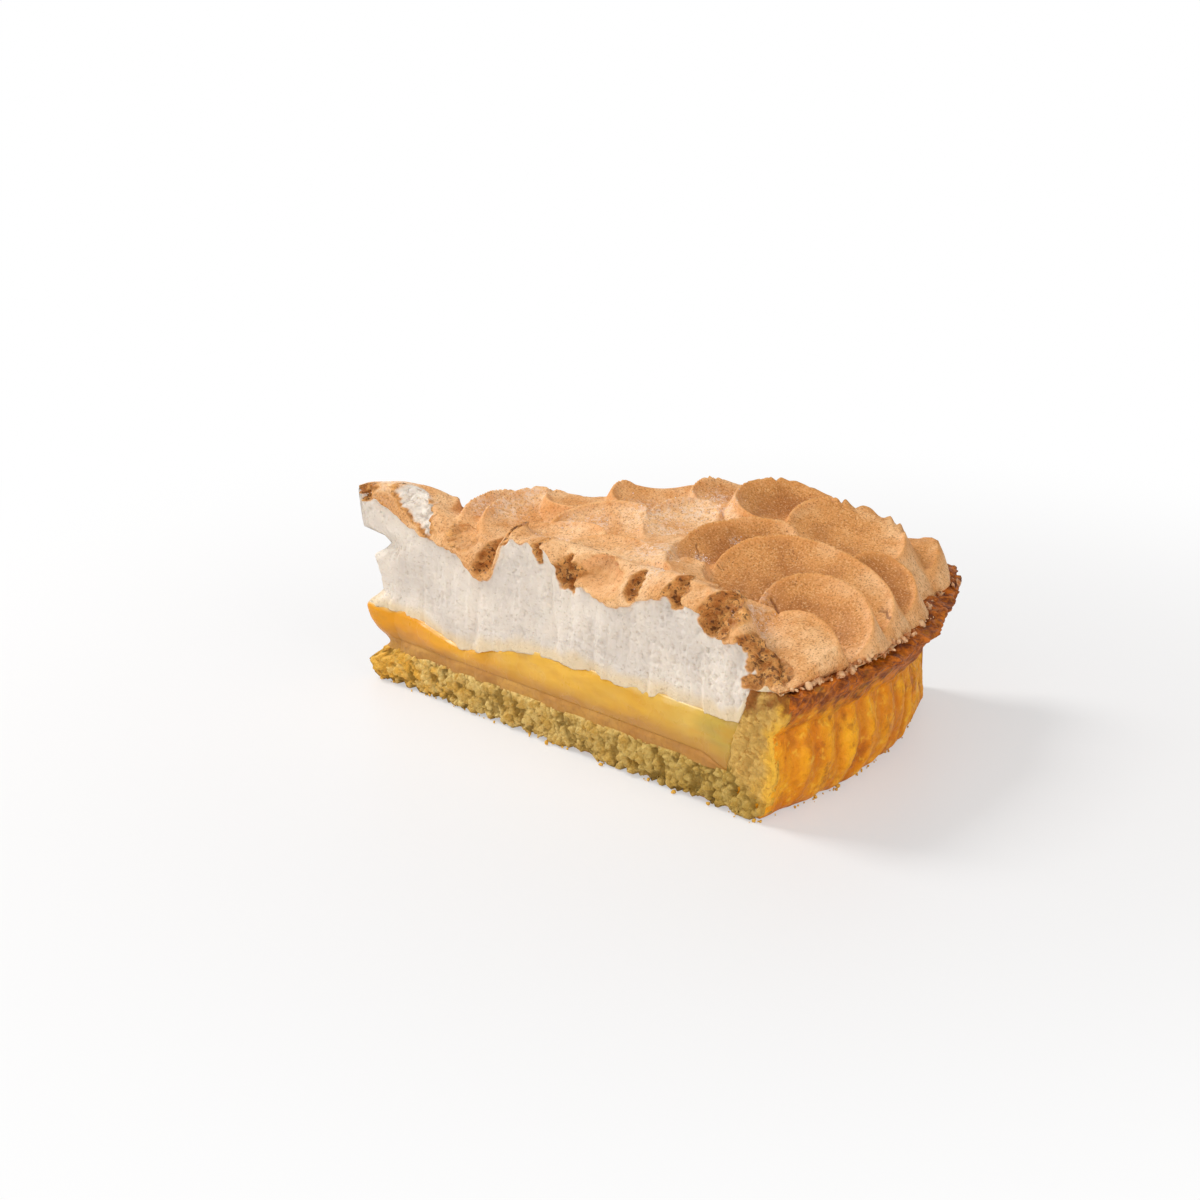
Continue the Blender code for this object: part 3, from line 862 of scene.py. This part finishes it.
def caseShape(outline, turns):
    # turns the outline round the slice, fluted outside and ragged at the lip
    r = outline[None, :, 0] + 0.0 * turns[:, None]
    z = outline[None, :, 1] + 0.0 * turns[:, None]
    turn = turns[:, None] + 0.0 * r
    spot = spots(r * np.cos(turn), r * np.sin(turn), z)
    outer = smooth(126.0, 131.0, r)
    wave = np.cos(turn / halfAngle * math.pi * caseLook["flutes"] + 1.3 * softNoise(spot, 22.0, 401))
    wave = wave * (0.65 + 0.5 * softNoise(spot, 12.0, 408))
    flute = caseLook["fluteDepth"] * wave * (0.4 + 0.6 * smooth(0.0, 5.0, z))
    flute = flute * (0.3 + 0.7 * smooth(28.0, 20.0, z))
    flute = flute - wallPull(z, turn)
    atLip = smooth(25.0, 29.0, z) * smooth(127.0, 132.0, r)
    ragged = atLip * (1.0 * softNoise(spot, 5.0, 402, 2) + 0.75 * softNoise(spot, 1.8, 403, 2))
    doughy = 0.5 * softNoise(spot, 6.0, 404, 2) + 0.2 * softNoise(spot, 1.6, 405, 2)
    r = r + outer * (flute + ragged + doughy) - 0.3 * outer
    lift = atLip * (0.9 * softNoise(spot, 6.0, 406, 2) + 0.6 * softNoise(spot, 1.9, 407, 2))
    lift = lift + atLip * 1.2 * bump(turn, halfAngle, math.radians(7.0))
    z = np.maximum(z + lift, 0.0)
    return r, z, turn, wave * outer


def makeCase(look=caseLook):
    outline = caseOutline(look["outerSteps"], look["rimSteps"], look["innerSteps"])
    turns = np.linspace(-halfAngle, halfAngle, look["stations"])
    r, z, turn, wave = caseShape(outline, turns)
    # the flat base goes in to the point, on top and underneath
    share = np.linspace(0.0, 1.0, 16)[1:]
    inward = mix(wallInside(baseTop), 1.0, share)
    outward = mix(1.0, look["footRadius"] - 2.0, share)[:-1]
    flatR = np.concatenate([inward, outward])
    flatZ = np.where(np.arange(len(flatR)) < len(share), baseTop, 0.0)
    blank = np.zeros((len(turns), len(flatR)))
    wholeR = np.concatenate([r, flatR + blank], 1)
    wholeZ = np.concatenate([z, flatZ + blank], 1)
    wholeTurn = np.concatenate([turn, turns[:, None] + blank], 1)
    # it ends a little short of the cuts, where the crumb slabs lie over it
    short = np.minimum(mix(3.4, 0.8, smooth(127.0, 131.5, wholeR)), 0.7 * halfAngle * wholeR)
    wholeTurn = wholeTurn * (1.0 - short / (wholeR * halfAngle))
    rings = spots(wholeR * np.cos(wholeTurn), wholeR * np.sin(wholeTurn), wholeZ)
    rings[..., 0] += (pointReach(wholeZ) - 1.0) * bump(wholeR, 1.0, 8.0)
    blotch = 2.4 * softNoise(rings, 7.0, 411, 2)
    bake = smooth(14.5, 28.5, wholeZ + 1.4 * blotch) * smooth(126.0, 131.0, wholeR)
    bake = bake + 0.35 * smooth(6.0, 0.0, wholeZ) * smooth(125.0, 129.0, wholeR)
    flute = np.concatenate([0.5 + 0.5 * wave, blank], 1)
    return loftRings("pastryCase", rings, {"bake": bake, "flute": flute})


cutLook = {
    "columns": 560,
    "rows": 36,
    "baseLength": 122.0,  # what share of the columns the base and the wall take
    "wallLength": 32.0,
    "clump": 1.8,  # millimetres across
    "bead": 0.9,
    "baseBehind": -3.6,  # how far the slab reaches in behind the cut
    "wallBehind": -2.0,
}


def makeCutPastry(name, side, look=cutLook):
    # the crumb where the knife went through: a thin crumbly slab over the case's cut
    columns = look["columns"]
    rows = look["rows"]
    u = np.linspace(0.0, 1.0, columns)[:, None]
    v = np.linspace(0.0, 1.0, rows)[None, :]
    corner = look["baseLength"] / (look["baseLength"] + look["wallLength"])
    onBase = np.clip(u / corner, 0.0, 1.0)
    onWall = np.clip((u - corner) / (1.0 - corner), 0.0, 1.0)
    wallShare = smooth(0.0, 0.2, onWall)
    outerCount = caseLook["outerSteps"]
    rimEnd = outerCount + caseLook["rimSteps"] - 1
    outline = caseOutline(outerCount, caseLook["rimSteps"], caseLook["innerSteps"])
    edgeR, edgeZ, _, _ = caseShape(outline, np.array([side * halfAngle]))
    outerR = edgeR[0, :outerCount]
    outerZ = edgeZ[0, :outerCount]
    innerR = edgeR[0, rimEnd:][::-1]
    innerZ = edgeZ[0, rimEnd:][::-1]

    def baseThenWall(base, wall):
        return np.where(u < corner, base, np.interp(onWall, np.linspace(0.0, 1.0, len(wall)), wall))

    lowR = baseThenWall(mix(0.8, outerR[0] - 0.2, onBase), outerR)
    lowZ = baseThenWall(0.0, outerZ)
    highR = baseThenWall(mix(0.8, innerR[0], onBase), innerR)
    highZ = baseThenWall(baseTop, innerZ)
    r = mix(lowR, highR, v)
    z = mix(lowZ, highZ, v)
    # the last rows rise to the rim's own line
    rimLine = np.interp(v, np.linspace(0.0, 1.0, rimEnd - outerCount), edgeZ[0, outerCount:rimEnd])
    z = z + smooth(0.82, 1.0, onWall) * (rimLine - mix(lowZ[-1], highZ[-1], v))
    spot = spots(r, z, 60.0 * side)
    bent = spot + 0.6 * spots(softNoise(spot, 1.6, 511), softNoise(spot, 1.6, 512))
    near, _ = cellNoise(bent, look["clump"], 503)
    smallNear, _ = cellNoise(bent, look["bead"], 504)
    clumps = smooth(0.8, 0.05, near)
    beads = smooth(0.75, 0.1, smallNear)
    cavity = smooth(0.25, 0.9, softNoise(spot, 2.6, 507, 2))
    grain = 1.15 * clumps + 0.6 * beads - 0.7 + 0.6 * softNoise(spot, 4.5, 501, 2) - 1.1 * cavity
    calm = 0.75 * softNoise(spot, 3.0, 506, 3) + 0.5 * beads + 0.4 * clumps - 0.4 - 0.7 * cavity
    grain = np.maximum(mix(grain, calm, 0.75 * wallShare), -1.5)
    edge = np.clip(np.minimum(np.minimum(v, 1.0 - v) / 0.14, (r - 0.3) / 2.0), 0.0, 1.0)
    out = (0.35 + grain) * np.sqrt(1.0 - (1.0 - edge) ** 2) + 0.1
    # a ragged foot under the crumb
    rag = (1.2 - 1.7 * clumps[:, 3:4] + 0.6 * softNoise(spot, 1.4, 505)) * smooth(0.3, 0.0, v)
    z = np.maximum(z + np.clip(rag * (1.0 - wallShare), 0.0, 1.8), 0.02)
    front = placePlain(r, z, side, out)
    behind = np.maximum(mix(look["baseBehind"], look["wallBehind"], wallShare), -0.3 - 0.35 * r)
    back = placePlain(r, z, side, behind)
    index = np.arange(columns * rows).reshape(columns, rows)
    border = np.concatenate([index[0], index[1:, -1], index[-1, -2::-1], index[-2:0:-1, 0]])
    quads = np.stack([index[:-1, :-1], index[1:, :-1], index[1:, 1:], index[:-1, 1:]], -1)
    ring = columns * rows + np.arange(len(border))
    skirt = np.stack([border, np.roll(border, -1), np.roll(ring, -1), ring], -1)
    points = np.concatenate([front.reshape(-1, 3), back.reshape(-1, 3)[border]])
    marks = {
        "wall": wallShare + 0.0 * v,
        "outer": smooth(0.36, 0.0, v + 0.12 * softNoise(spot, 3.0, 508, 2)) * wallShare,
        "bake": smooth(0.78, 1.0, onWall + 0.1 * softNoise(spot, 4.0, 509, 2)),
        # the lowest rows of the base's cut, painted darker as painted shade along the foot
        "foot": smooth(0.12, 0.0, v) * (1.0 - wallShare),
        # how far the crumb sinks in, which the finish turns into painted shade in its hollows
        "hollow": np.clip(-grain, 0.0, 1.0),
        "reach": r / 130.0,
    }
    for mark, values in marks.items():
        values = values.ravel()
        marks[mark] = np.concatenate([values, values[border]])
    return addMesh(name, points, quads.reshape(-1, 4).tolist() + skirt.tolist(), marks)


def placePlain(r, z, side, out):
    x = r * cosHalf - out * sinHalf
    y = side * (r * sinHalf + out * cosHalf)
    x = x + (pointReach(z) - 1.0) * bump(r, 1.0, 8.0)
    return spots(x, y, z)


def crustFinish():
    bench = startMaterial("bakedCrust")
    grain = bench.noise(1.4, 4.0, 0.65)
    streak = bench.noise(5.0, 3.0, 0.6, bench.stretched(1.0, 1.0, 0.25))
    # the grooves between the flutes are painted darker as painted shade, mixed with random upright streaks
    ridge = bench.math("MULTIPLY", bench.mark("flute"), 0.5)
    groove = bench.math("SUBTRACT", bench.math("ADD", streak, 0.25), ridge)
    baked = bench.stirred(bench.mark("bake"), bench.noise(3.5), 0.3)
    burnt = bench.twoTone(bench.noise(2.4, 4.0, 0.7), (104, 46, 6), (206, 112, 20), 0.35, 0.68)
    colour = bench.coats(
        bench.twoTone(bench.noise(9.0, 4.0, 0.6), (234, 144, 2), (252, 182, 30)),
        (grain, 0.5, 0.75, 0.6, (196, 110, 8)),
        # painted shade in the grooves between the flutes, with random streaks
        (groove, 0.25, 0.75, 0.7, (200, 106, 6)),
        (bench.noise(6.0, 5.0, 0.72), 0.52, 0.7, 0.7, (158, 80, 8)),
        (bench.noise(2.2, 3.0, 0.6), 0.56, 0.7, 0.5, (255, 206, 70)),
        (baked, 0.1, 1.0, 1.0, burnt))
    reliefs = ((grain, 0.6, 0.6), (bench.noise(3.0, 3.0, 0.6), 1.0, 0.6))
    return bench.finish(colour, bench.span(grain, 0.3, 0.7, 0.42, 0.7), reliefs, 0.06, 0.25)


def crumbFinish():
    bench = startMaterial("pastryCrumb")
    wall = bench.mark("wall")
    grain = bench.noise(0.8, 4.0, 0.65)
    cloud = bench.noise(3.0)
    reach = bench.stirred(bench.mark("reach"), cloud, 0.08)
    speckle = bench.math("MULTIPLY", bench.span(bench.noise(1.3, 3.0, 0.6), 0.55, 0.68), wall)
    baked = bench.stirred(bench.mark("bake"), bench.noise(2.5), 0.25)
    colour = bench.coats(
        bench.twoTone(cloud, (204, 162, 78), (232, 200, 124)),
        # more orange towards the point, and painted light there against the shade the point sits in
        (reach, 0.25, 0.03, 0.8, (240, 180, 66)),
        (reach, 0.45, 0.95, 0.55, (176, 144, 60)),
        (grain, 0.45, 0.7, 0.5, (172, 130, 48)),
        # painted shade in the crumb's hollows
        (bench.mark("hollow"), 0.05, 0.7, 0.6, (128, 96, 28)),
        (wall, 0.7, (224, 178, 96)),
        (bench.mark("outer"), 0.85, (246, 186, 56)),
        (speckle, 0.6, (176, 118, 40)),
        # painted shade along the foot
        (bench.mark("foot"), 0.35, (150, 106, 36)),
        (baked, 0.15, 1.0, 0.9, (140, 76, 20)))
    reliefs = ((bench.cells(0.7), -0.5, 0.5), (grain, 0.5, 0.6))
    return bench.finish(colour, bench.span(grain, 0.3, 0.7, 0.6, 0.85), reliefs, 0.08, 0.25)


settle(makeCase(), "pastry_shell", crustFinish())
crumb = crumbFinish()
settle(makeCutPastry("pastryCrumbNear", -1.0), "pastry_shell", crumb)
settle(makeCutPastry("pastryCrumbFar", 1.0), "pastry_shell", crumb)


scatterLook = {
    "grainsPerPlace": 42,
    "grainSize": (0.16, 0.46),  # millimetres across
    "sugarAbove": 36.0,
    "rimFlakes": 170,
    "flakeSize": (0.5, 2.8),
    "footCrumbs": 130,
    "crumbSize": (0.4, 1.5),
}


def addLumps(name, places, sizes, dice, flat=0.7):
    # many small rough lumps joined as one mesh
    seedBall = bmesh.new()
    bmesh.ops.create_icosphere(seedBall, subdivisions=1, radius=0.5)
    ball = np.array([corner.co[:] for corner in seedBall.verts])
    sides = np.array([[corner.index for corner in face.verts] for face in seedBall.faces])
    seedBall.free()
    points = []
    faces = []
    for place, size in zip(places, sizes):
        turn = np.array(Euler(dice.uniform(0.0, 6.28, 3)).to_matrix())
        stretch = dice.uniform(0.55, 1.0, 3) * (1.0, 1.0, flat)
        rough = dice.uniform(0.75, 1.2, (len(ball), 1))
        lump = (ball * rough * stretch) @ turn.T * size + place
        faces.append(sides + sum(map(len, points)))
        points.append(lump)
    return addMesh(name, np.concatenate(points), np.concatenate(faces).tolist(), closeHoles=False)


def restOn(surface, x, y):
    # height of the surface under a point of the plan, or nothing beside it
    start = Vector(toMetres(np.array([x, y, 80.0])).tolist())
    found, spot, _, _ = surface.ray_cast(start, Vector((0.0, 0.0, -1.0)))
    return spot.z * 1000.0 if found else None


def makeSugar(meringue, look=scatterLook):
    dice = np.random.default_rng(slicePlan["seed"])
    places = []
    sizes = []
    for cx, cy, reach in meringueLook["sugar"]:
        for _ in range(look["grainsPerPlace"]):
            x, y = dice.normal((cx, cy), 0.75 * reach)
            size = mix(*look["grainSize"], dice.random() ** 2)
            height = restOn(meringue, x, y)
            inside = abs(y) <= (x - 2.0) * math.tan(halfAngle)
            if inside and height is not None and height >= look["sugarAbove"]:
                places.append((x, y, height + 0.2 * size))
                sizes.append(size)
    return addLumps("sugarGrains", places, sizes, dice)


def sugarFinish():
    bench = startMaterial("siftedSugar")
    colour = bench.twoTone(bench.noise(1.5), (252, 238, 228), (240, 214, 198))
    rough = bench.span(bench.noise(0.6), 0.3, 0.7, 0.4, 0.7)
    return bench.finish(colour, rough, [(bench.noise(0.3), 0.1, 0.4)], 0.1)


def makeRimFlakes(look=scatterLook):
    # flakes of meringue that broke off where it meets the rim
    dice = np.random.default_rng(slicePlan["seed"] + 1)
    turns = dice.uniform(-0.97, 0.95, look["rimFlakes"]) * halfAngle
    r = outerReach(turns) + 0.2 + 2.0 * dice.random(len(turns)) ** 2
    sizes = mix(*look["flakeSize"], dice.random(len(turns)) ** 2)
    z = wallHeight(r) + 0.35 + 0.2 * sizes
    places = spots(r * np.cos(turns), r * np.sin(turns), z)
    return addLumps("rimFlakes", places, sizes, dice, 0.5)


def flakeFinish():
    bench = startMaterial("meringueFlakes")
    colour = bench.twoTone(bench.noise(2.2), (230, 182, 134), (176, 108, 52), 0.4, 0.6)
    rough = bench.span(bench.noise(0.8), 0.3, 0.7, 0.5, 0.8)
    return bench.finish(colour, rough, [(bench.noise(0.5), 0.2, 0.5)], 0.1)


def makeFootCrumbs(look=scatterLook):
    # crumbs of pastry shed along the foot of the cuts and of the wall
    dice = np.random.default_rng(slicePlan["seed"] + 2)
    places = []
    sizes = mix(*look["crumbSize"], dice.random(look["footCrumbs"]) ** 2)
    for k, size in enumerate(sizes):
        away = 0.2 + 1.4 * dice.random() ** 3
        if k % 3:
            side = -1.0 if k % 2 else 1.0
            r = dice.uniform(2.0, 130.0)
            places.append(placePlain(r, 0.3 * size, side, away))
        else:
            turn = dice.uniform(-1.0, 1.0) * halfAngle
            r = 130.2 + away
            places.append((r * math.cos(turn), r * math.sin(turn), 0.3 * size))
    return addLumps("footCrumbs", np.array(places), sizes, dice, 0.8)


bpy.context.view_layer.update()
settle(makeSugar(bpy.data.objects["meringueSpooned"]), "meringue", sugarFinish())
settle(makeRimFlakes(), "meringue", flakeFinish())
settle(makeFootCrumbs(), "pastry_shell", crumb)


stageLook = {
    "floorReach": 3.0,  # metres from the middle to each side
    "floorTint": (0.82, 0.80, 0.79, 1.0),
    "glowFrom": 0.08,  # the floor glows white further from the slice, and keeps the shadow near it
    "glowTo": 0.30,
    "glowNear": 0.45,
    "roomLight": 0.26,
    # name, where it stands, where it points, size, watts
    "lamps": (
        ("windowLight", (-0.65, 0.05, 0.7), (0.0, 0.0, 0.02), 0.4, 6.8),
        ("frontFill", (0.05, -0.9, 0.45), (0.0, 0.0, 0.02), 0.8, 3.5),
        ("sideFill", (0.85, -0.4, 0.25), (0.05, 0.0, 0.02), 0.6, 3.4),
    ),
    "lens": 78.0,
    "cameraPlace": (0.3126, -0.5248, 0.2023),  # both counted from the slice's point
    "cameraAim": (0.0201, 0.0827, 0.0),
}
white = (1.0, 1.0, 1.0, 1.0)


def seenDirectly(bench):
    # 1 for rays that come straight from the camera, a mirror or clear glass
    path = bench.tree.nodes.new("ShaderNodeLightPath").outputs
    seen = bench.math("MAXIMUM", path["Is Camera Ray"], path["Is Glossy Ray"])
    return bench.math("MAXIMUM", seen, path["Is Transmission Ray"])


def makeFloor(look=stageLook):
    mesh = bpy.data.meshes.new("floor")
    corners = [(x * look["floorReach"], y * look["floorReach"], -0.0001)
               for x, y in ((-1, -1), (1, -1), (1, 1), (-1, 1))]
    mesh.from_pydata(corners, [], [(0, 1, 2, 3)])
    floor = putInScene("floor", mesh)
    bench = startMaterial("paleFloor")
    shader = bench.tree.nodes["Principled BSDF"]
    shader.inputs["Base Color"].default_value = look["floorTint"]
    shader.inputs["Roughness"].default_value = 0.45
    away = bench.add("VectorMath", "Value", {0: bench.place}, operation="LENGTH")
    glowing = bench.span(away, look["glowFrom"], look["glowTo"], look["glowNear"], 1.0)
    share = bench.math("MULTIPLY", seenDirectly(bench), glowing)
    glow = bench.add("Emission", 0, {"Color": white})
    blend = bench.add("MixShader", 0, {0: share, 1: shader.outputs[0], 2: glow})
    bench.join(blend, bench.tree.nodes["Material Output"].inputs[0])
    mesh.materials.append(bench.owner)


def makeWorld(strength):
    world = bpy.data.worlds.new("softRoom")
    bpy.context.scene.world = world
    bench = NodeBench(world)
    room = bench.tree.nodes["Background"]
    bench.join(white, room.inputs["Color"])
    bench.join(strength, room.inputs["Strength"])
    backdrop = bench.add("Background", 0, {"Color": white, "Strength": 1.0})
    blend = bench.add("MixShader", 0, {0: seenDirectly(bench), 1: room.outputs[0], 2: backdrop})
    bench.join(blend, bench.tree.nodes["World Output"].inputs[0])


def aimAt(thing, place, aim):
    thing.location = place
    thing.rotation_euler = (Vector(aim) - Vector(place)).to_track_quat("-Z", "Y").to_euler()


def addLamp(name, place, aim, size, watts):
    lamp = bpy.data.lights.new(name, "AREA")
    lamp.shape = "SQUARE"
    lamp.size = size
    lamp.energy = watts
    aimAt(putInScene(name, lamp), place, aim)


def addCamera(look=stageLook):
    point = Vector((slicePlan["pointX"] / 1000.0, 0.0, 0.0))
    lens = bpy.data.cameras.new("camera")
    lens.lens = look["lens"]
    lens.sensor_width = 36.0
    camera = putInScene("camera", lens)
    aimAt(camera, point + Vector(look["cameraPlace"]), point + Vector(look["cameraAim"]))
    bpy.context.scene.camera = camera


makeFloor()
makeWorld(stageLook["roomLight"])
for lampPlan in stageLook["lamps"]:
    addLamp(*lampPlan)
addCamera()
bpy.context.scene.view_settings.view_transform = "Standard"
print("stage set")
